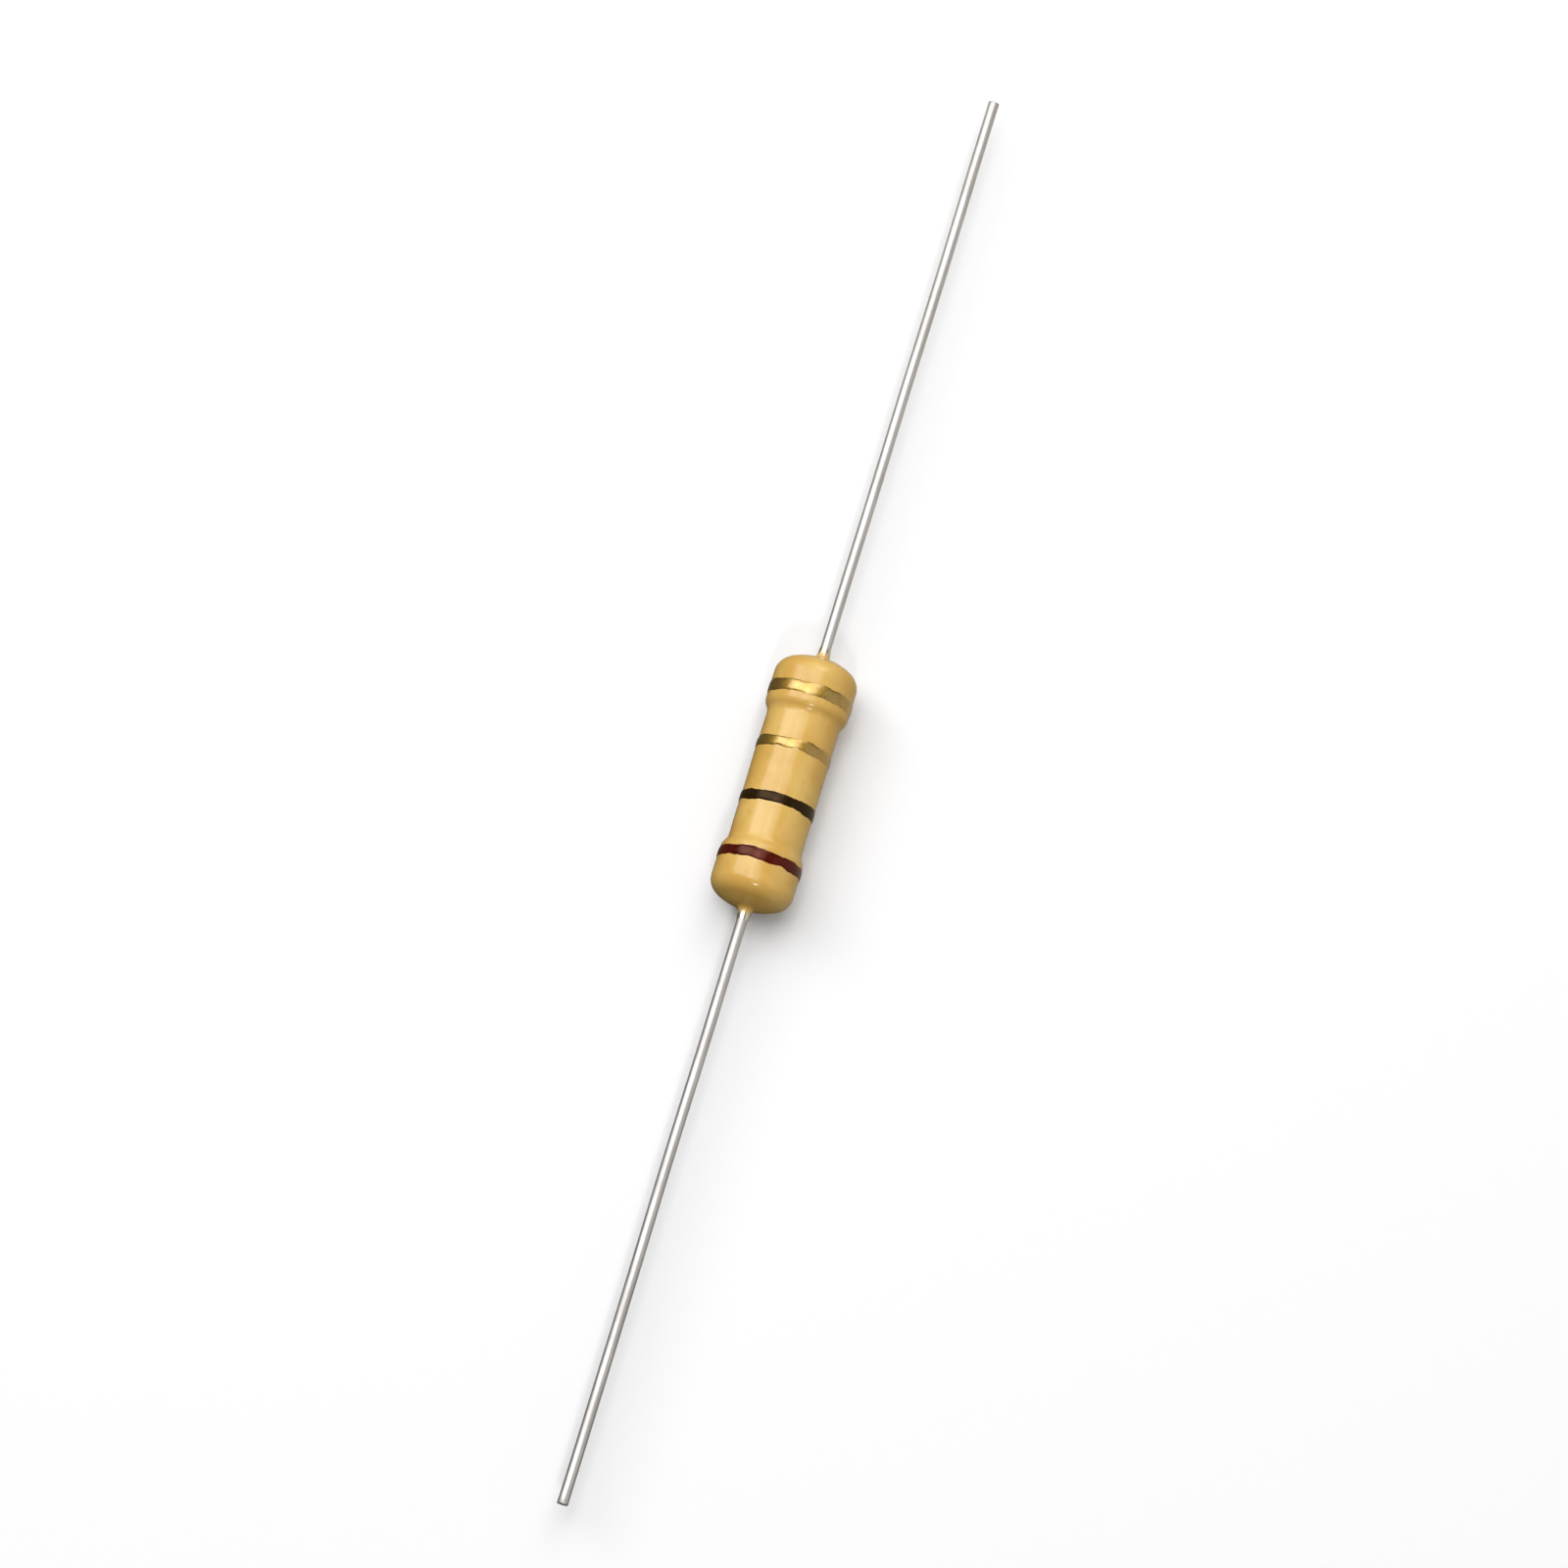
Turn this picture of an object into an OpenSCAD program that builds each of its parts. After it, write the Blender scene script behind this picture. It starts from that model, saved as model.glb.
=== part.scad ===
// Axial film resistor with four colour bands, lying along X.
// The first colour band is at the -X end, the tolerance band at the +X end.
// The origin is the middle of the part, on its axis. Sizes are in millimetres.

/* [Ceramic rod] */
// Diameter of the ceramic rod
rod_d = 2.65; // [1.6:0.05:4]
// Length of the ceramic rod
rod_l = 9.8; // [7:0.1:14]

/* [Carbon film] */
// Thickness of the film on the rod, drawn thicker than the real one
film_t = 0.05; // [0.03:0.01:0.08]
// Full turns of the trim groove
trim_turns = 4; // [1:1:5]
// Distance between two turns of the trim groove
trim_pitch = 1.1; // [0.6:0.05:1.3]
// Width of the trim groove, along the rod
trim_w = 0.25; // [0.1:0.05:0.4]

/* [End caps] */
// Wall of the pressed cap
cap_wall = 0.25; // [0.15:0.01:0.35]
// How far the cap reaches over the rod
cap_grip = 1.55; // [1.2:0.05:2.2]
// Radius of the inside corner of the cap
cap_corner_r = 0.375; // [0.25:0.005:0.45]

/* [Leads] */
// Diameter of the wire
lead_d = 0.45; // [0.3:0.05:0.8]
// Length of each lead, from the weld on its cap to the cut end
lead_l = 25.65; // [15:0.05:40]
// How far the weld spreads around the wire's foot
weld_w = 0.18; // [0.1:0.01:0.25]
// Height of the weld on the cap's face
weld_h = 0.2; // [0.1:0.01:0.25]

/* [Lacquer] */
// Thickness of the lacquer on the rod
coat_rod_t = 0.18; // [0.1:0.01:0.25]
// Thickness of the lacquer around the caps
coat_cap_t = 0.125; // [0.08:0.005:0.2]
// Thickness of the lacquer on each cap's face, without the crown
coat_face_t = 0.1; // [0.05:0.01:0.2]
// How far the crown stands up from a flat end face
crown_h = 0.25; // [0.1:0.01:0.4]
// How far the full width runs on past the cap's rim
rim_cover = 0.05; // [0:0.01:0.2]
// Length of the slope from the caps' width to the rod's width
flare_l = 0.6; // [0.4:0.05:1]
// How far the lacquer creeps along each lead
creep_l = 0.5; // [0.3:0.05:1.5]
// Thickness of the lacquer at the foot of the creep
creep_t = 0.05; // [0.03:0.005:0.1]
// Thickness of the lacquer where the creep ends
creep_end_t = 0.01; // [0.005:0.005:0.025]
// Radius of the fillet between the end face and the creep
creep_fillet_r = 0.2; // [0.1:0.01:0.3]

/* [Colour bands] */
// Thickness of the paint
band_t = 0.03; // [0.02:0.005:0.06]
// Width of the first three bands
band_w = 0.45; // [0.3:0.01:0.8]
// Width of the tolerance band
tolerance_band_w = 0.52; // [0.3:0.01:0.7]
// Distance from the body's end to the middle of the first band
first_band_in = 1.93; // [1.6:0.01:2.4]
// Distance from the middle of the tolerance band to the body's other end
tolerance_band_in = 1.77; // [1.5:0.01:2.2]
// Share of the bands' spread that lies between the first two
first_space = 0.345; // [0.3:0.005:0.4]

/* [Hidden] */
$fn = 96;

lead_r = lead_d / 2;
weld_r = lead_r + weld_w;

// Radii from the rod outwards
rod_r = rod_d / 2;
film_r = rod_r + film_t;
cap_r = film_r + cap_wall;
waist_r = film_r + coat_rod_t;
bulge_r = cap_r + coat_cap_t;

// Places along the axis, from the middle outwards
cap_rim_x = rod_l / 2 - cap_grip;
cap_face_x = rod_l / 2 + cap_wall;
weld_top_x = cap_face_x + weld_h;
body_end_x = cap_face_x + coat_face_t + crown_h;
tip_x = weld_top_x + lead_l;

// Round edges: the cap's outer corner, the rod's edge under it and the lacquer's shoulder over it
cap_outer_r = cap_corner_r + cap_wall;
rod_edge_r = cap_corner_r - film_t;
shoulder_r = cap_outer_r + coat_cap_t;

// The crown is a wide arc that meets the shoulder's arc
shoulder_x = cap_face_x + coat_face_t - shoulder_r;
shoulder_y = bulge_r - shoulder_r;
crown_depth = (shoulder_y * shoulder_y - crown_h * crown_h) / (2 * crown_h);
crown_x = shoulder_x - crown_depth;
crown_r = body_end_x - crown_x;
shoulder_tip = [shoulder_y, crown_depth] * crown_r / (crown_r - shoulder_r) + [0, crown_x];

// The flare is two equal arcs that meet halfway
flare_top_x = cap_rim_x - rim_cover;
flare_foot_x = flare_top_x - flare_l;
flare_mid_x = flare_top_x - flare_l / 2;
flare_mid_r = (waist_r + bulge_r) / 2;
flare_drop = bulge_r - waist_r;
flare_r = (flare_drop * flare_drop + flare_l * flare_l) / (4 * flare_drop);

// Creep of the lacquer on the lead
creep_r = lead_r + creep_t;
creep_end_r = lead_r + creep_end_t;
creep_tip_x = body_end_x + creep_l;
fillet_r = creep_r + creep_fillet_r;
fillet_x = crown_x + sqrt(crown_r * crown_r - fillet_r * fillet_r) + creep_fillet_r;

// Middles of the four bands; the last three are spaced evenly
first_band_x = -body_end_x + first_band_in;
tolerance_band_x = body_end_x - tolerance_band_in;
second_band_x = first_band_x + (tolerance_band_x - first_band_x) * first_space;
multiplier_band_x = (second_band_x + tolerance_band_x) / 2;

// Steps in each turn of the trim groove
groove_steps = 36;
// How far a cutter clears the faces that it cuts through
cutter_over = 0.02;

lacquer_tan = [0.87, 0.73, 0.49];
band_red = [0.45, 0.05, 0.08];
band_black = [0.1, 0.1, 0.07];
band_gold = [0.72, 0.56, 0.2];

// Turns a profile of radius and height around the X axis
module turned() {
    rotate([0, 90, 0]) rotate_extrude() children();
}

// Both ends of a profile that is the same at each end
module both_ends() {
    children();
    mirror([0, 1]) children();
}

// Profile of a turned block from the axis out, with its outer edge rounded at the far end
module round_ended(r, from_x, to_x, edge_r) {
    translate([0, from_x]) square([r - edge_r, to_x - from_x]);
    translate([0, from_x]) square([r, to_x - edge_r - from_x]);
    translate([r - edge_r, to_x - edge_r]) circle(edge_r);
}

// Profile of the bare resistor that the lacquer covers
module covered_profile() {
    translate([0, -cap_rim_x]) square([film_r, 2 * cap_rim_x]);
    both_ends() {
        capped_end_profile();
        lead_profile();
    }
}

// Profile of a cap's outside, with the weld in the middle of its face
module capped_end_profile() {
    round_ended(cap_r, cap_rim_x, cap_face_x, cap_outer_r);
    polygon([
        [0, cap_face_x],
        [weld_r, cap_face_x],
        [lead_r, weld_top_x],
        [0, weld_top_x]
    ]);
}

// Profile of a lead, which stands on the weld
module lead_profile() {
    translate([0, weld_top_x]) square([lead_r, lead_l]);
}

// Profile of the slope from the caps' width to the rod's width
module flare_profile() {
    intersection() {
        translate([waist_r / 2, flare_mid_x]) square([bulge_r - waist_r / 2, flare_l / 2]);
        translate([bulge_r - flare_r, flare_top_x]) circle(flare_r);
    }
    difference() {
        translate([waist_r / 2, flare_foot_x]) square([flare_mid_r - waist_r / 2, flare_l / 2]);
        translate([waist_r + flare_r, flare_foot_x]) circle(flare_r);
    }
}

// Profile of the crowned end face
module crown_profile() {
    intersection() {
        polygon([
            [0, shoulder_x],
            [shoulder_y, shoulder_x],
            shoulder_tip,
            [shoulder_tip[0], body_end_x + crown_h],
            [0, body_end_x + crown_h]
        ]);
        translate([0, crown_x]) circle(crown_r);
    }
}

// Profile of the lacquer that climbs the lead
module creep_profile() {
    difference() {
        translate([0, shoulder_x]) square([fillet_r, fillet_x - shoulder_x]);
        translate([fillet_r, fillet_x]) circle(creep_fillet_r);
    }
    polygon([
        [0, fillet_x],
        [creep_r, fillet_x],
        [creep_end_r, creep_tip_x],
        [0, creep_tip_x]
    ]);
}

// Outer profile of the body without its creeps, all radii larger by grow
module body_profile(grow = 0) {
    translate([0, -shoulder_x]) square([waist_r + grow, 2 * shoulder_x]);
    both_ends() translate([grow, 0]) {
        translate([0, flare_top_x]) square([bulge_r, shoulder_x - flare_top_x]);
        flare_profile();
    }
}

// Paint ring around the body
module band(x, w) {
    turned() intersection() {
        translate([0, x - w / 2]) square([bulge_r + band_t, w]);
        difference() {
            body_profile(band_t);
            body_profile();
        }
    }
}

// Pressed metal cap with its weld, mirrored for the left end
module cap() {
    turned() difference() {
        capped_end_profile();
        round_ended(film_r, cap_rim_x, rod_l / 2, cap_corner_r);
    }
}

// Groove that winds around the rod through the film, with square ends
module trim_groove() {
    rings = trim_turns * groove_steps;
    inner = rod_r - cutter_over;
    outer = film_r + cutter_over;
    corners = [
        [inner, -trim_w / 2],
        [outer, -trim_w / 2],
        [outer, trim_w / 2],
        [inner, trim_w / 2]
    ];
    points = [
        for (i = [0:rings], c = corners)
            let (turn = 360 * i / groove_steps)
            [
                c[0] * cos(turn),
                c[0] * sin(turn),
                c[1] + trim_pitch * (i / groove_steps - trim_turns / 2)
            ]
    ];
    sides = [
        for (i = [0:rings - 1], k = [0:3])
            let (a = 4 * i + k, b = 4 * i + (k + 1) % 4)
            each [[a, b, b + 4], [a, b + 4, a + 4]]
    ];
    last = 4 * rings;
    ends = [
        [0, 3, 2],
        [0, 2, 1],
        [last, last + 1, last + 2],
        [last, last + 2, last + 3]
    ];
    polyhedron(points, concat(sides, ends));
}

module ceramic_rod() {
    color([0.93, 0.92, 0.88]) turned() {
        both_ends() round_ended(rod_r, 0, rod_l / 2, rod_edge_r);
    }
}

module carbon_film() {
    color([0.15, 0.14, 0.14]) rotate([0, 90, 0]) difference() {
        length = rod_l - 2 * cap_corner_r;
        cylinder(h = length, r = film_r, center = true);
        cylinder(h = length + 2 * cutter_over, r = rod_r, center = true);
        trim_groove();
    }
}

module left_cap() {
    color([0.72, 0.72, 0.74]) mirror([1, 0, 0]) cap();
}

module right_cap() {
    color([0.72, 0.72, 0.74]) cap();
}

module left_lead() {
    color([0.86, 0.85, 0.84]) mirror([1, 0, 0]) turned() lead_profile();
}

module right_lead() {
    color([0.86, 0.85, 0.84]) turned() lead_profile();
}

module lacquer_coat() {
    color(lacquer_tan) turned() difference() {
        union() {
            body_profile();
            both_ends() {
                translate([shoulder_y, shoulder_x]) circle(shoulder_r);
                crown_profile();
                creep_profile();
            }
        }
        covered_profile();
    }
}

module first_digit_band() {
    color(band_red) band(first_band_x, band_w);
}

module second_digit_band() {
    color(band_black) band(second_band_x, band_w);
}

module multiplier_band() {
    color(band_gold) band(multiplier_band_x, band_w);
}

module tolerance_band() {
    color(band_gold) band(tolerance_band_x, tolerance_band_w);
}

ceramic_rod();
carbon_film();
left_cap();
right_cap();
left_lead();
right_lead();
lacquer_coat();
first_digit_band();
second_digit_band();
multiplier_band();
tolerance_band();
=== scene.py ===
# Axial film resistor: lacquered body, painted colour bands and tinned wire leads
import math

import bmesh
import bpy
from mathutils import Matrix, Vector, noise


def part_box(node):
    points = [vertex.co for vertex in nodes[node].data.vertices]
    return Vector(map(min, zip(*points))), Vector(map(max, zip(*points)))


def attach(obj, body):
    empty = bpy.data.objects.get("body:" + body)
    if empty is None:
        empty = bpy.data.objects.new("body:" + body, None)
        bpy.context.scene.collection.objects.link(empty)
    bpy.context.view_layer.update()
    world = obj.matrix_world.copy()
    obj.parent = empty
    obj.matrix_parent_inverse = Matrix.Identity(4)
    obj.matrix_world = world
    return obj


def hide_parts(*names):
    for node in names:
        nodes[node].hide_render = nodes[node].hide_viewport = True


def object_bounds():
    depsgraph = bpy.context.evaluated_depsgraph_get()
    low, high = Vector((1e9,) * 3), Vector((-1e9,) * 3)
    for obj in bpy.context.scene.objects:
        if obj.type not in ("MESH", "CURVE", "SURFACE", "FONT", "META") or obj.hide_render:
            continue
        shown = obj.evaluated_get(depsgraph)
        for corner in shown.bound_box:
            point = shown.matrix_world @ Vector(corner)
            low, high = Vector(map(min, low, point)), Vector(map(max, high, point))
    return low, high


mm = 0.001
tiny = 0.001 * mm    # points that are closer than this are at one place

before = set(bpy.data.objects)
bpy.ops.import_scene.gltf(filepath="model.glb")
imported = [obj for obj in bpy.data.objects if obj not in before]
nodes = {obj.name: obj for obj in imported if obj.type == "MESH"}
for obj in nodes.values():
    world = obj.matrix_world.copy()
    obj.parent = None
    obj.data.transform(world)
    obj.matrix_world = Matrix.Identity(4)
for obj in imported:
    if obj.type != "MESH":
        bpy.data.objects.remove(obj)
cadLow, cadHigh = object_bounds()
boxes = {name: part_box(name) for name in nodes}
print("frame loaded:", sorted(nodes))


def radiusOf(node):
    return boxes[node][1].z


def clamp(value, low=0, high=1):
    return min(high, max(low, value))


# an 8-bit screen colour as Blender's linear one
def srgb(r, g, b):
    parts = [c / 255 for c in (r, g, b)]
    return tuple(c / 12.92 if c <= 0.04045 else ((c + 0.055) / 1.055) ** 2.4 for c in parts) + (1,)


# Shader maths: a socket that takes +, * and abs() in Python and adds the Math nodes

class Sock:
    def __init__(self, tree, out):
        self.tree = tree
        self.out = out

    def math(self, operation, *values):
        maths = self.tree.nodes.new("ShaderNodeMath")
        maths.operation = operation
        for socket, value in zip(maths.inputs, values):
            plug(self.tree, socket, value)
        return Sock(self.tree, maths.outputs[0])

    def __add__(self, other):
        return self.math("ADD", self, other)

    __radd__ = __add__

    def __mul__(self, other):
        return self.math("MULTIPLY", self, other)

    __rmul__ = __mul__

    def __abs__(self):
        return self.math("ABSOLUTE", self)


def plug(tree, socket, value):
    if isinstance(value, Sock):
        tree.links.new(value.out, socket)
    else:
        socket.default_value = value


# a node tree, with one method for any node but Math
class Network:
    def __init__(self, tree):
        self.tree = tree

    def node(self, kind, settings=None, inputs=None, out=0):
        made = self.tree.nodes.new(kind)
        for key, value in (settings or {}).items():
            setattr(made, key, value)
        for key, value in (inputs or {}).items():
            plug(self.tree, made.inputs[key], value)
        return Sock(self.tree, made.outputs[out])


# a new material, whose patterns lie on the object's own coordinates in millimetres
class Finish(Network):
    def __init__(self, name, **constants):
        self.material = bpy.data.materials.new(name)
        self.material.use_nodes = True
        super().__init__(self.material.node_tree)
        self.shader = self.tree.nodes["Principled BSDF"]
        self.set(**constants)
        coords = self.node("ShaderNodeTexCoord", out="Object")
        self.place = self.vector("SCALE", {0: coords, "Scale": 1 / mm})

    # baseColor goes to the socket Base Color, and so on
    def set(self, **sockets):
        for key, value in sockets.items():
            words = "".join(" " + c if c.isupper() else c for c in key).replace("I O R", "IOR")
            plug(self.tree, self.shader.inputs[words[0].upper() + words[1:]], value)

    def vector(self, operation, inputs, out="Vector"):
        return self.node("ShaderNodeVectorMath", {"operation": operation}, inputs, out)

    def component(self, vector, axis):
        return self.node("ShaderNodeSeparateXYZ", {}, {0: vector}, axis)

    # the scale is in lumps per millimetre
    def noise(self, scale, detail=3, stretch=(1, 1, 1)):
        spot = self.vector("MULTIPLY", {0: self.place, 1: stretch})
        inputs = {"Vector": spot, "Scale": scale, "Detail": detail, "Roughness": 0.5}
        return self.node("ShaderNodeTexNoise", {}, inputs, "Fac")

    def spread(self, value, low, high, toLow=0.0, toHigh=1.0, kind="SMOOTHSTEP"):
        inputs = {"Value": value, "From Min": low, "From Max": high, "To Min": toLow, "To Max": toHigh}
        return self.node("ShaderNodeMapRange", {"interpolation_type": kind}, inputs)

    def mix(self, factor, first, second):
        return self.node("ShaderNodeMix", {"data_type": "RGBA"}, {0: factor, 6: first, 7: second}, 2)

    def bump(self, height, depth, strength):
        inputs = {"Height": height, "Distance": depth, "Strength": strength}
        return self.node("ShaderNodeBump", {}, inputs)


# Profiles are drawn in the plane of the axis, as x along it and r out from it

class Profile:
    def __init__(self, x, r):
        self.bm = bmesh.new()
        self.last = self.bm.verts.new((x, 0, r))

    def line(self, x, r, steps=1):
        start = self.last.co.copy()
        for i in range(1, steps + 1):
            grown = bmesh.ops.extrude_vert_indiv(self.bm, verts=[self.last])
            self.last = grown["verts"][0]
            self.last.co = start.lerp(Vector((x, 0, r)), i / steps)

    # turns on from the last point around x, r; a positive turn goes from outward to +x
    def arc(self, x, r, degrees, steps):
        spun = bmesh.ops.spin(
            self.bm,
            geom=[self.last],
            cent=(x, 0, r),
            axis=(0, 1, 0),
            angle=math.radians(degrees),
            steps=steps,
        )
        self.last = [v for v in spun["geom_last"] if isinstance(v, bmesh.types.BMVert)][0]

    def mirrored(self):
        geom = self.bm.verts[:] + self.bm.edges[:]
        bmesh.ops.mirror(self.bm, geom=geom, axis="X", merge_dist=tiny)
        return self

    # all the way round the X axis
    def turned(self, steps):
        geom = self.bm.verts[:] + self.bm.edges[:]
        bmesh.ops.spin(
            self.bm,
            geom=geom,
            cent=(0, 0, 0),
            axis=(1, 0, 0),
            angle=2 * math.pi,
            steps=steps,
            use_merge=True,
        )
        return welded(self.bm)


def welded(bm):
    bmesh.ops.remove_doubles(bm, verts=bm.verts[:], dist=tiny / 2)
    bmesh.ops.recalc_face_normals(bm, faces=bm.faces[:])
    return bm


def addPiece(name, bm, finish, replaced, sharp=35):
    mesh = bpy.data.meshes.new(name)
    bm.to_mesh(mesh)
    bm.free()
    mesh.shade_smooth()
    mesh.set_sharp_from_angle(angle=math.radians(sharp))
    mesh.materials.append(finish)
    piece = bpy.data.objects.new(name, mesh)
    bpy.context.scene.collection.objects.link(piece)
    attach(piece, "root")
    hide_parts(replaced)
    print("made", name, len(mesh.polygons), "faces")


# Lacquer coat: an uneven skin, and the cavity that the film, the caps and the leads fill

lacquer = {
    "steps": 192,                 # around the body
    "flareLength": 0.6 * mm,
    "rimCover": 0.05 * mm,
    "crown": 0.25 * mm,
    "capCorner": 0.625 * mm,
    "capThickness": 0.125 * mm,
    "creepLength": 0.5 * mm,
    "creepThickness": 0.05 * mm,
    "creepEndThickness": 0.01 * mm,
    "creepFillet": 0.2 * mm,
    "weldWidth": 0.18 * mm,
    "weldHeight": 0.2 * mm,
    "bandThickness": 0.03 * mm,
    "wander": 0.02 * mm,          # how uneven the dip coat is
    "wanderLump": 1.7 * mm,
    "wanderTop": 0.5,             # lumps above this stay level
    "calmLength": 1.2 * mm,       # at the body's end, where the wander fades
    "calmFade": 1.0 * mm,
    "tan": (srgb(231, 190, 105), srgb(221, 174, 86)),
    "speck": srgb(212, 162, 74),
    "speckShare": 0.35,
    "roughness": (0.15, 0.22),
    "peelDepth": 0.006 * mm,
    "thin": srgb(232, 224, 205),  # where the tinned wire shows through
    "thinFrom": 0.12 * mm,        # past the body's end
    "thinTo": 0.05 * mm,          # short of the coat's tip
    "thinRagged": 0.16,           # in mm
    "thinMetal": 0.95,
}
coatTip = boxes["lacquer_coat"][1].x
bodyEnd = coatTip - lacquer["creepLength"]


# the skin's profile from the middle to the right lead
def outerHalf(settings):
    waist = radiusOf("second_digit_band") - settings["bandThickness"]
    bulge = radiusOf("lacquer_coat")
    lead = radiusOf("right_lead")
    flareTop = boxes["right_cap"][0].x - settings["rimCover"]
    flareFoot = flareTop - settings["flareLength"]
    drop = bulge - waist
    flareRadius = (drop ** 2 + settings["flareLength"] ** 2) / (4 * drop)
    flareTurn = math.degrees(2 * math.atan2(drop, settings["flareLength"]))
    shoulder = settings["capCorner"] + settings["capThickness"]
    shoulderY = bulge - shoulder
    shoulderX = bodyEnd - settings["crown"] - shoulder
    crownDepth = (shoulderY ** 2 - settings["crown"] ** 2) / (2 * settings["crown"])
    crownX = shoulderX - crownDepth
    crownRadius = bodyEnd - crownX
    crownStart = math.degrees(math.atan2(shoulderY, crownDepth))
    filletY = lead + settings["creepThickness"] + settings["creepFillet"]
    crownEnd = math.degrees(math.asin(filletY / crownRadius))
    filletX = crownX + math.sqrt(crownRadius ** 2 - filletY ** 2) + settings["creepFillet"]

    half = Profile(0, waist)
    half.line(flareFoot, waist, steps=24)
    half.arc(flareFoot, waist + flareRadius, -flareTurn, steps=8)
    half.arc(flareTop, bulge - flareRadius, flareTurn, steps=8)
    half.line(shoulderX, bulge, steps=9)
    half.arc(shoulderX, shoulderY, 90 - crownStart, steps=16)
    half.arc(crownX, 0, crownStart - crownEnd, steps=12)
    half.arc(filletX, filletY, -90, steps=8)
    half.line(coatTip, lead + settings["creepEndThickness"], steps=8)
    half.line(coatTip, lead)
    return half


# the cavity's profile from the middle to the right lead
def innerHalf(settings):
    rim, weldTop = (corner.x for corner in boxes["right_cap"])
    face = weldTop - settings["weldHeight"]
    cap = radiusOf("right_cap")
    film = radiusOf("carbon_film")
    lead = radiusOf("right_lead")
    corner = settings["capCorner"]
    half = Profile(0, film)
    half.line(rim, film)
    half.line(rim, cap)
    half.line(face - corner, cap)
    half.arc(face - corner, cap - corner, 90, steps=8)
    half.line(face, lead + settings["weldWidth"])
    half.line(weldTop, lead)
    half.line(coatTip, lead)
    return half


# sinks the skin in places, as a dip coat dries, and leaves the creeps alone
def wander(bm, settings):
    wide = settings["wanderLump"]
    narrow = 0.4 * wide
    for v in bm.verts:
        out = Vector((0, v.co.y, v.co.z))
        keep = 1 - clamp((abs(v.co.x) - bodyEnd + settings["calmLength"]) / settings["calmFade"])
        if keep and out.length:
            lump = noise.noise(v.co / wide) + 0.4 * noise.noise(v.co / narrow)
            v.co += out.normalized() * min(0, lump - settings["wanderTop"]) * settings["wander"] * keep


# both meshes in one, welded where their rings meet
def joined(first, second):
    holder = bpy.data.meshes.new("holder")
    second.to_mesh(holder)
    first.from_mesh(holder)
    second.free()
    bpy.data.meshes.remove(holder)
    return welded(first)


def lacquerFinish(settings):
    f = Finish("glossyTanLacquer", specularIORLevel=0.5)
    cloud = f.spread(f.noise(0.55), 0.35, 0.65)
    speck = f.spread(f.noise(3.0, detail=4), 0.55, 0.75, 0, settings["speckShare"])
    tan = f.mix(speck, f.mix(cloud, *settings["tan"]), settings["speck"])
    ragged = abs(f.component(f.place, "X")) + f.noise(2.5) * settings["thinRagged"]
    thinStart = bodyEnd + settings["thinFrom"]
    thinEnd = coatTip - settings["thinTo"]
    thin = f.spread(ragged, thinStart / mm, thinEnd / mm)
    peel = f.noise(5.0, detail=2) * 0.7 + f.noise(16.0, detail=2) * 0.3
    f.set(baseColor=f.mix(thin, tan, settings["thin"]))
    f.set(metallic=thin * settings["thinMetal"])
    f.set(roughness=f.spread(f.noise(1.4), 0.3, 0.7, *settings["roughness"]))
    f.set(normal=f.bump(peel, settings["peelDepth"], 0.5))
    return f.material


skin = outerHalf(lacquer).mirrored().turned(lacquer["steps"])
wander(skin, lacquer)
print("lacquer skin:", len(skin.faces), "faces")
cavity = innerHalf(lacquer).mirrored().turned(lacquer["steps"])
addPiece("lacquerCoat", joined(skin.copy(), cavity), lacquerFinish(lacquer), "lacquer_coat")


# Colour bands: strips cut out of the skin, thickened outwards

bands = {
    "rows": 12,               # across the band
    "edgeWander": 0.06 * mm,  # how ragged the edges are
    "edgeLumps": 2.6,
    "fineLumps": 3.3,         # times as fine as the others and half as high
    "edgesApart": 5,          # keeps a band's two edges unlike
    "bandsApart": 17.3,       # keeps the bands unlike
    "edgeShare": 0.1,         # share of the paint's thickness left at its edges
}
redPaint = {
    "colours": (srgb(80, 10, 2), srgb(65, 6, 1)),
    "roughness": (0.15, 0.28),
    "shine": 0.5,
    "shineTint": (1.0, 0.5, 0.34, 1),
    "peelDepth": 0.006 * mm,
}
blackPaint = {
    "colours": (srgb(42, 26, 5), srgb(30, 16, 2)),
    "roughness": (0.17, 0.3),
    "shine": 0.25,
    "shineTint": (1.0, 0.7, 0.42, 1),
    "peelDepth": 0.006 * mm,
}
goldPaint = {
    "colours": (srgb(186, 139, 34), srgb(168, 121, 24)),
    "roughness": (0.32, 0.46),
    "flake": srgb(236, 208, 92),
    "flakeShare": 0.4,
    "flakesPerMm": 30.0,
    "flakeDepth": 0.002 * mm,
    "coatRoughness": 0.2,
    "coatIOR": 1.8,
}


def paintFinish(name, paint):
    f = Finish(name, specularIORLevel=paint["shine"], specularTint=paint["shineTint"])
    streak = f.noise(2.2, detail=4, stretch=(1, 0.35, 0.35))
    f.set(baseColor=f.mix(f.spread(streak, 0.42, 0.7), *paint["colours"]))
    f.set(roughness=f.spread(f.noise(4.0), 0.3, 0.7, *paint["roughness"]))
    f.set(normal=f.bump(f.noise(7.0), paint["peelDepth"], 0.5))
    return f.material


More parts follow.
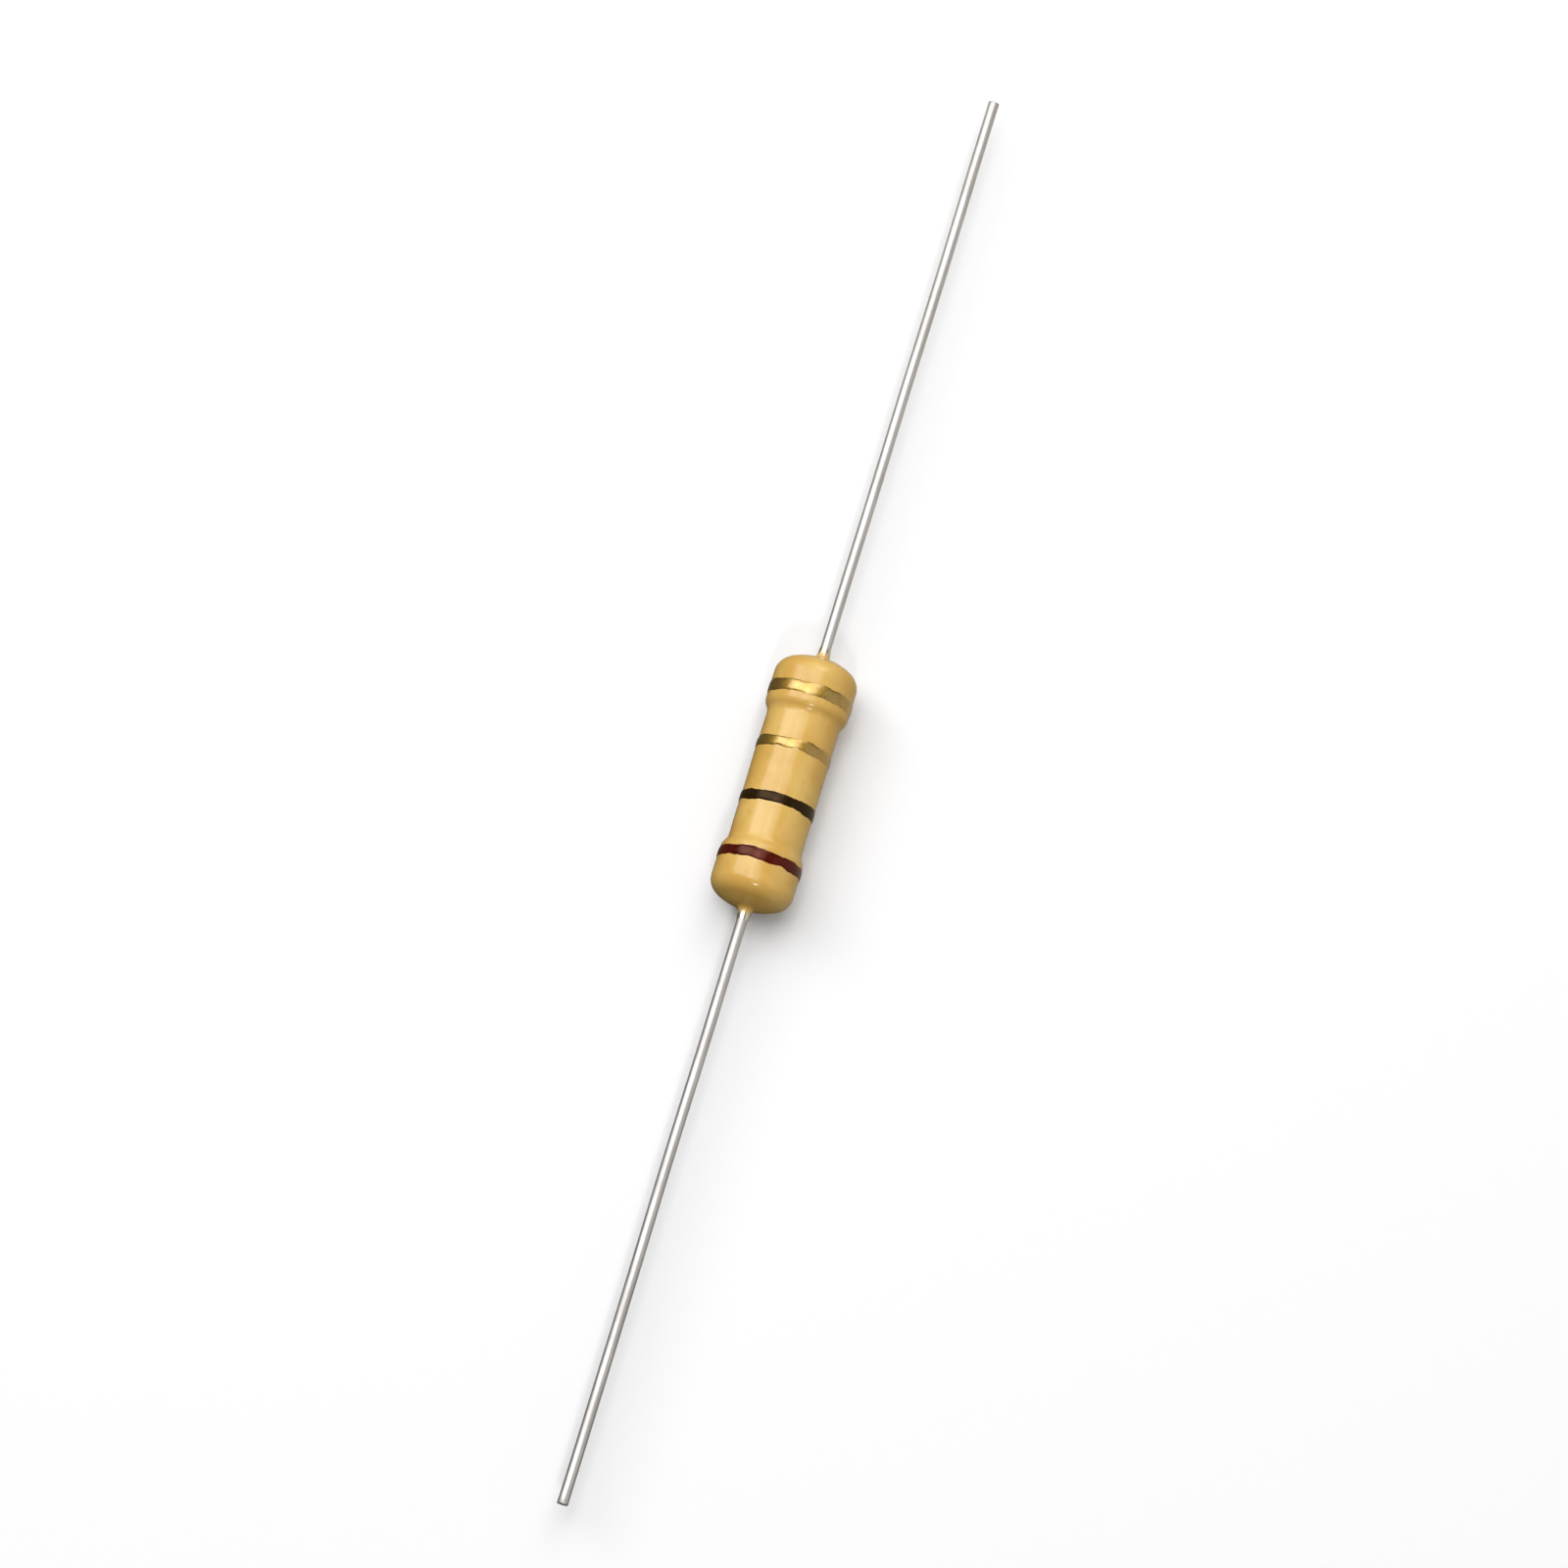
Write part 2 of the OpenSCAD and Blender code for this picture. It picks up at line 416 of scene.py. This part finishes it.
def goldFinish(name, paint):
    f = Finish(name, metallic=1.0, coatWeight=1.0)
    f.set(coatRoughness=paint["coatRoughness"], coatIOR=paint["coatIOR"])
    cells = {"Vector": f.place, "Scale": paint["flakesPerMm"]}
    flakes = f.node("ShaderNodeTexVoronoi", {"feature": "F1"}, cells, "Color")
    shade = f.component(flakes, "X")
    gold = f.mix(f.spread(f.noise(2.0), 0.3, 0.7), *paint["colours"])
    f.set(baseColor=f.mix(shade * paint["flakeShare"], gold, paint["flake"]))
    f.set(roughness=f.spread(shade, 0, 1, *paint["roughness"], kind="LINEAR"))
    f.set(normal=f.bump(shade, paint["flakeDepth"], 0.6))
    return f.material


# a strip of the skin with ragged edges, drawn out into paint that is fullest in its middle
def bandRing(node, settings, seed):
    low, high = boxes[node]
    middle = (low.x + high.x) / 2
    inside = (high.x - low.x) / 2
    strip = skin.copy()
    for side in (-1, 1):
        bmesh.ops.bisect_plane(
            strip,
            geom=strip.verts[:] + strip.edges[:] + strip.faces[:],
            plane_co=(middle + side * inside, 0, 0),
            plane_no=(side, 0, 0),
            clear_outer=True,
        )
    for row in range(1, settings["rows"]):
        bmesh.ops.bisect_plane(
            strip,
            geom=strip.verts[:] + strip.edges[:] + strip.faces[:],
            plane_co=(middle + (2 * row / settings["rows"] - 1) * inside, 0, 0),
            plane_no=(1, 0, 0),
        )
    grown = bmesh.ops.extrude_face_region(strip, geom=strip.faces[:], use_keep_orig=True)
    for v in (part for part in grown["geom"] if isinstance(part, bmesh.types.BMVert)):
        across = abs(v.co.x - middle) / inside
        full = settings["edgeShare"] + (1 - settings["edgeShare"]) * (1 - across ** 4)
        v.co += Vector((0, v.co.y, v.co.z)).normalized() * lacquer["bandThickness"] * full
    lumps = settings["edgeLumps"]
    for v in strip.verts:
        across = (v.co.x - middle) / inside
        turn = math.atan2(v.co.z, v.co.y)
        apart = seed + math.copysign(settings["edgesApart"], across)
        spot = Vector((math.cos(turn) * lumps, math.sin(turn) * lumps, apart))
        drift = noise.noise(spot) + 0.5 * noise.noise(spot * settings["fineLumps"])
        v.co.x += across ** 3 * clamp(drift, -1, 1) * settings["edgeWander"]
    bmesh.ops.recalc_face_normals(strip, faces=strip.faces[:])
    return strip


def addBands(settings):
    red = paintFinish("crimsonPaint", redPaint)
    black = paintFinish("brownBlackPaint", blackPaint)
    gold = goldFinish("goldFlakePaint", goldPaint)
    rows = (
        ("redBand", "first_digit_band", red, "red_paint"),
        ("blackBand", "second_digit_band", black, "black_paint"),
        ("goldMultiplierBand", "multiplier_band", gold, "gold_paint"),
        ("goldToleranceBand", "tolerance_band", gold, "gold_paint"),
    )
    for number, (name, node, finish, slotName) in enumerate(rows):
        ring = bandRing(node, settings, number * settings["bandsApart"])
        addPiece(name, ring, finish, node)


addBands(bands)
skin.free()


# Leads: drawn tinned wire with a pinched, sheared tip

wire = {
    "segments": 48,
    "rings": 90,
    "sharp": 50,            # degrees
    "bow": 0.05 * mm,       # how far the wire strays from its line
    "bowLump": 9.0 * mm,
    "bowEase": 6.0 * mm,    # from the coat's tip to where the bow is full
    "pinch": 0.88,          # how much the cutter flattens the tip
    "pinchLength": 0.35 * mm,
    "pinchSpread": 0.4,     # how much of the pinch goes sideways
    "tipBevel": 0.03 * mm,
    "bright": (srgb(228, 225, 222), srgb(212, 209, 206)),
    "drawn": srgb(190, 185, 182),
    "drawnShare": 0.35,
    "drawnDepth": 0.002 * mm,
    "roughness": (0.44, 0.56),
}


def wireFinish(settings):
    f = Finish("tinnedWire", metallic=1.0)
    drawn = f.noise(9.0, detail=4, stretch=(0.05, 1, 1))
    patch = f.noise(0.7, detail=4, stretch=(0.6, 1, 1))
    bright = f.mix(f.spread(patch, 0.35, 0.65), *settings["bright"])
    lines = f.spread(drawn, 0.45, 0.7, 0, settings["drawnShare"])
    f.set(baseColor=f.mix(lines, bright, settings["drawn"]))
    f.set(roughness=f.spread(patch, 0.3, 0.7, *settings["roughness"]))
    f.set(normal=f.bump(drawn * 0.6 + patch * 0.4, settings["drawnDepth"], 0.4))
    return f.material


def leadWire(node, settings, seed):
    low, high = boxes[node]
    length = high.x - low.x
    radius = high.z
    side = 1 if high.x > -low.x else -1
    bm = bmesh.new()
    bmesh.ops.create_cone(
        bm,
        cap_ends=True,
        segments=settings["segments"],
        radius1=radius,
        radius2=radius,
        depth=length,
    )
    # the cone stands along Z; lay it along X with its top at the cut tip
    quarter = Matrix.Rotation(side * math.pi / 2, 3, "Y")
    bmesh.ops.rotate(bm, verts=bm.verts[:], cent=(0, 0, 0), matrix=quarter)
    bmesh.ops.translate(bm, verts=bm.verts[:], vec=((low.x + high.x) / 2, 0, 0))
    tipX = high.x if side > 0 else low.x
    rim = [e for e in bm.edges if all(abs(v.co.x - tipX) < tiny for v in e.verts)]
    bmesh.ops.bevel(
        bm,
        geom=rim,
        offset=settings["tipBevel"],
        offset_type="OFFSET",
        affect="EDGES",
        segments=3,
        profile=0.5,
        material=-1,
    )
    along = [e for e in bm.edges if abs(e.verts[0].co.x - e.verts[1].co.x) > length / 2]
    bmesh.ops.subdivide_edges(bm, edges=along, cuts=settings["rings"], use_grid_fill=True)
    flat = 1 - settings["pinch"]
    elsewhere = Vector((0, 7, 3))    # keeps the bow's two directions unlike
    for v in bm.verts:
        near = max(0, 1 - abs(tipX - v.co.x) / settings["pinchLength"]) ** 2
        v.co.z *= 1 - near * flat
        v.co.y *= 1 + near * flat * settings["pinchSpread"]
        ease = clamp((abs(v.co.x) - coatTip) / settings["bowEase"]) ** 2
        spot = Vector((v.co.x / settings["bowLump"], seed, 0))
        v.co.y += noise.noise(spot) * settings["bow"] * ease
        v.co.z += noise.noise(spot + elsewhere) * settings["bow"] * ease
    bmesh.ops.recalc_face_normals(bm, faces=bm.faces[:])
    return bm


def addLeads(settings):
    finish = wireFinish(settings)
    for name, node, seed in (("leftLead", "left_lead", 1.7), ("rightLead", "right_lead", 4.9)):
        addPiece(name, leadWire(node, settings, seed), finish, node, settings["sharp"])


addLeads(wire)


# Hidden pieces keep their CAD shapes and get their own finishes

ceramic = {
    "colours": (srgb(240, 238, 230), srgb(226, 222, 210)),
    "roughness": 0.6,
    "grainDepth": 0.004 * mm,
}
carbon = {
    "colours": (srgb(52, 50, 50), srgb(34, 33, 33)),
    "metallic": 0.3,
    "roughness": (0.28, 0.45),
}
capSteel = {
    "colours": (srgb(214, 212, 208), srgb(184, 182, 180)),
    "roughness": 0.3,
    "drawnDepth": 0.004 * mm,
}


def ceramicFinish(settings):
    f = Finish("whiteCeramic", roughness=settings["roughness"])
    f.set(baseColor=f.mix(f.noise(2.0, detail=4), *settings["colours"]))
    f.set(normal=f.bump(f.noise(12.0, detail=4), settings["grainDepth"], 0.5))
    return f.material


def carbonFinish(settings):
    f = Finish("carbonFilm", metallic=settings["metallic"])
    f.set(baseColor=f.mix(f.noise(4.0, detail=4), *settings["colours"]))
    f.set(roughness=f.spread(f.noise(9.0), 0.3, 0.7, *settings["roughness"]))
    return f.material


def capFinish(settings):
    f = Finish("tinnedCapSteel", metallic=1.0, roughness=settings["roughness"])
    drawn = f.noise(7.0, detail=4, stretch=(0.1, 1, 1))
    f.set(baseColor=f.mix(drawn, *settings["colours"]))
    f.set(normal=f.bump(drawn, settings["drawnDepth"], 0.5))
    return f.material


def refinish(finish, *names):
    for name in names:
        for materialSlot in nodes[name].material_slots:
            materialSlot.material = finish


refinish(ceramicFinish(ceramic), "ceramic_rod")
refinish(carbonFinish(carbon), "carbon_film")
refinish(capFinish(capSteel), "left_cap", "right_cap")
print("hidden pieces refinished")


# Camera: it looks down at the body, whose red end is nearer and lower in the picture

camera = {
    "distance": 0.29,
    "elevation": 74.0,      # above the floor
    "heading": 16.5,        # from +X, counter-clockwise
    "width": 0.0640,        # of the view at the body
    "sensor": 36,
    "clip": (0.01, 10),
}
elevation = math.radians(camera["elevation"])
heading = math.radians(camera["heading"])
ahead = Vector((math.cos(heading), math.sin(heading), 0))
right = ahead.cross(Vector((0, 0, 1)))
back = Vector((0, 0, 1)) * math.sin(elevation) - ahead * math.cos(elevation)
up = back.cross(right)


def addCamera(settings):
    data = bpy.data.cameras.new("photoCamera")
    data.sensor_width = settings["sensor"]
    data.lens = data.sensor_width * settings["distance"] / settings["width"]
    data.clip_start, data.clip_end = settings["clip"]
    holder = bpy.data.objects.new("photoCamera", data)
    bpy.context.scene.collection.objects.link(holder)
    turn = Matrix((right, up, back)).transposed().to_4x4()
    holder.matrix_world = Matrix.Translation(back * settings["distance"]) @ turn
    bpy.context.scene.camera = holder


# Stage: a pale floor, a white sky that gives little light, and the lamps

stage = {
    "size": 3.0,
    "squares": 8,
    "roughness": 0.85,
    "shine": 0.2,
    "floorSeen": srgb(252, 252, 253),
    # what the floor gives to shiny and to matt surfaces, left and right of the object: painted shade
    # and painted reflection, darker than the white floor that the camera sees, darkest to the object's
    # left for a shaded left side and lighter to its right for a brighter rim
    "shadedFloorGlossy": (srgb(92, 87, 68), srgb(190, 185, 168)),
    "shadedFloorBounce": (srgb(82, 76, 52), srgb(150, 142, 112)),
    "sideFade": 2.0,        # in mm to either side
    "skyColour": (1.0, 1.0, 1.0, 1),
    "skySeen": 1.0,
    "skyLight": 0.13,
}


def addFloor(settings):
    bm = bmesh.new()
    squares = settings["squares"]
    bmesh.ops.create_grid(bm, x_segments=squares, y_segments=squares, size=settings["size"] / 2)
    bmesh.ops.translate(bm, verts=bm.verts[:], vec=(0, 0, cadLow.z))
    mesh = bpy.data.meshes.new("paleFloor")
    bm.to_mesh(mesh)
    bm.free()
    floor = bpy.data.objects.new("paleFloor", mesh)
    bpy.context.scene.collection.objects.link(floor)
    f = Finish("palePaper", roughness=settings["roughness"], specularIORLevel=settings["shine"])
    seen = f.node("ShaderNodeLightPath", out="Is Camera Ray")
    glossy = f.node("ShaderNodeLightPath", out="Is Glossy Ray")
    # painted shade: reflections and bounced light get a darker floor than the camera sees, darkest to
    # the object's left and lighter to its right
    across = f.vector("DOT_PRODUCT", {0: f.place, 1: right}, "Value")
    side = f.spread(across, -settings["sideFade"], settings["sideFade"])
    bounce = f.mix(side, *settings["shadedFloorBounce"])
    colour = f.mix(glossy, bounce, f.mix(side, *settings["shadedFloorGlossy"]))
    f.set(baseColor=f.mix(seen, colour, settings["floorSeen"]))
    mesh.materials.append(f.material)


def addSky(settings):
    world = bpy.data.worlds.new("paleSky")
    bpy.context.scene.world = world
    world.use_nodes = True
    sky = Network(world.node_tree)
    sky.tree.nodes.remove(sky.tree.nodes["Background"])
    colour = settings["skyColour"]
    light = sky.node("ShaderNodeBackground", {}, {"Color": colour, "Strength": settings["skyLight"]})
    shown = sky.node("ShaderNodeBackground", {}, {"Color": colour, "Strength": settings["skySeen"]})
    seen = sky.node("ShaderNodeLightPath", out="Is Camera Ray")
    swap = sky.node("ShaderNodeMixShader", {}, {0: seen, 1: light, 2: shown})
    plug(sky.tree, sky.tree.nodes["World Output"].inputs["Surface"], swap)


lampDistance = 0.30
lamps = (
    # name, direction as right / up / towards the camera, size, radiance
    ("leftWindowLamp", (-0.44, 0.52, 0.73), (0.15, 0.34), 2.7),
    ("rightWindowLamp", (0.13, 0.55, 0.83), (0.15, 0.34), 2.1),
    ("highLamp", (-0.05, 0.90, 0.42), (0.50, 0.25), 0.95),
    ("sideLamp", (0.90, -0.05, 0.42), (0.26, 0.34), 0.46),
    ("sparkLamp", (0.0, -0.38, 0.92), (0.03, 0.03), 40.0),
)


def addLamp(name, direction, size, radiance):
    data = bpy.data.lights.new(name, "AREA")
    data.shape = "RECTANGLE"
    data.size, data.size_y = size
    data.energy = radiance * math.pi * size[0] * size[1]
    lamp = bpy.data.objects.new(name, data)
    bpy.context.scene.collection.objects.link(lamp)
    aim = (right * direction[0] + up * direction[1] + back * direction[2]).normalized()
    lamp.location = aim * lampDistance
    lamp.rotation_mode = "QUATERNION"
    lamp.rotation_quaternion = aim.to_track_quat("Z", "Y")


addFloor(stage)
addSky(stage)
addCamera(camera)
for lamp in lamps:
    addLamp(*lamp)
bpy.context.scene.view_settings.view_transform = "Standard"
print("stage, lamps and camera ready")
